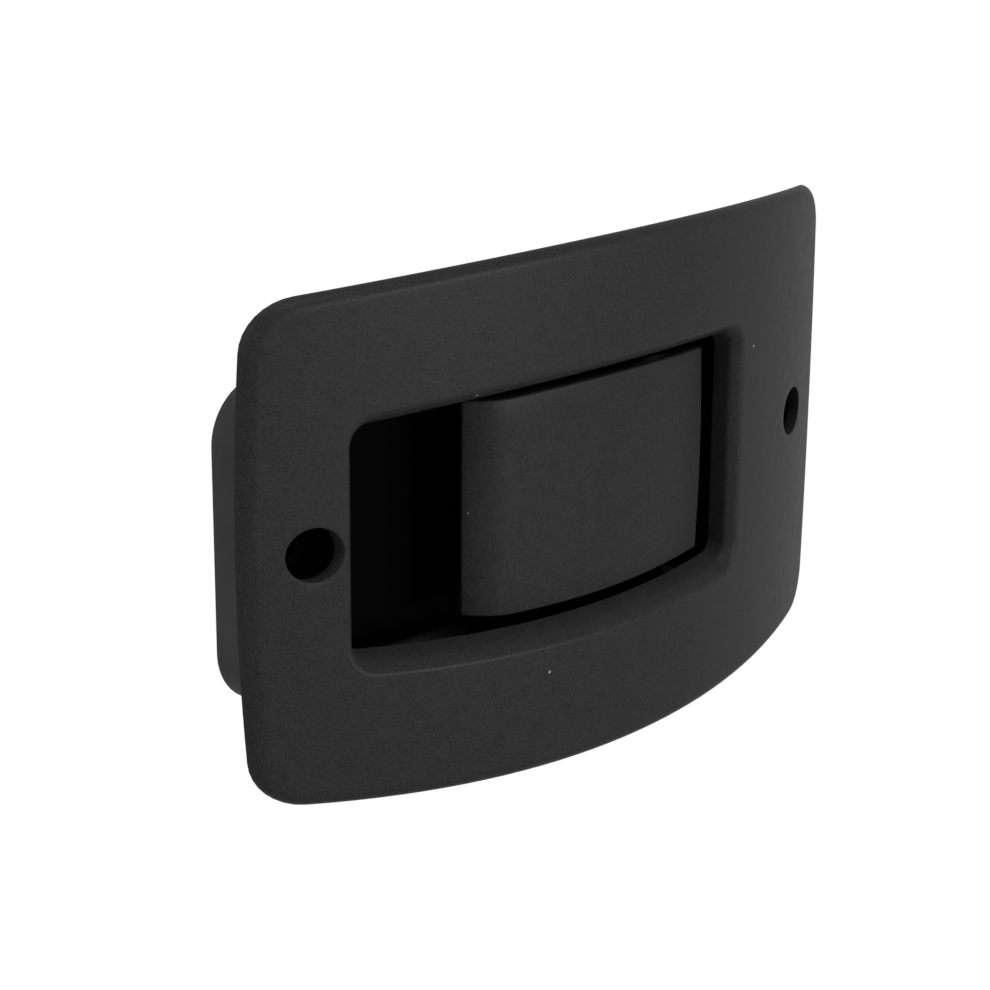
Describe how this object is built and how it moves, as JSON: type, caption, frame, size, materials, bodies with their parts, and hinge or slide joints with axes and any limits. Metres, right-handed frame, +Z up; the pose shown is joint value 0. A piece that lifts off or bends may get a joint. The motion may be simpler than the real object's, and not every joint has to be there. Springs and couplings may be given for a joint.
{
  "type": "car interior door handle",
  "caption": "Flush pull handle for the inside of a vehicle door: curved face plate, boxed housing and a sprung pull lever that works a release arm behind the panel.",
  "frame": {"origin": "midway between the two fixing screws, in the plane where the housing seats on the door", "axes": "+X to the right seen from inside the vehicle, +Y into the door, +Z up"},
  "size_m": [0.1533, 0.0474, 0.0976],
  "materials": {
    "black_grained_plastic": "fine moulded grain, matte",
    "black_housing_plastic": "smooth matte",
    "zinc_steel": "zinc plated",
    "spring_steel": "drawn wire",
    "natural_nylon": "unpainted nylon",
    "black_rubber": "moulded rubber"
  },
  "bodies": {
    "base": {"face_plate": "black_grained_plastic", "housing": "black_housing_plastic", "housing_screws": "zinc_steel", "pivot_pin": "zinc_steel", "pin_washer": "zinc_steel", "pin_retainer": "spring_steel", "upper_spacer": "natural_nylon", "lower_spacer": "natural_nylon", "return_spring": "spring_steel", "rest_buffer": "black_rubber", "open_buffer": "black_rubber"},
    "lever": {"pull_lever": "black_grained_plastic", "release_arm": "zinc_steel", "arm_screws": "zinc_steel", "rod_clip": "natural_nylon"}
  },
  "joints": [
    {"name": "lever_pull", "type": "hinge", "parent": "base", "child": "lever", "pos_m": [0.02255, -0.012, 0], "axis": [0, 0, 1], "range_deg": [0, 28], "stiffness_Nm_per_rad": 0.25, "springref_deg": -28.65, "deforming": ["return_spring"]}
  ]
}
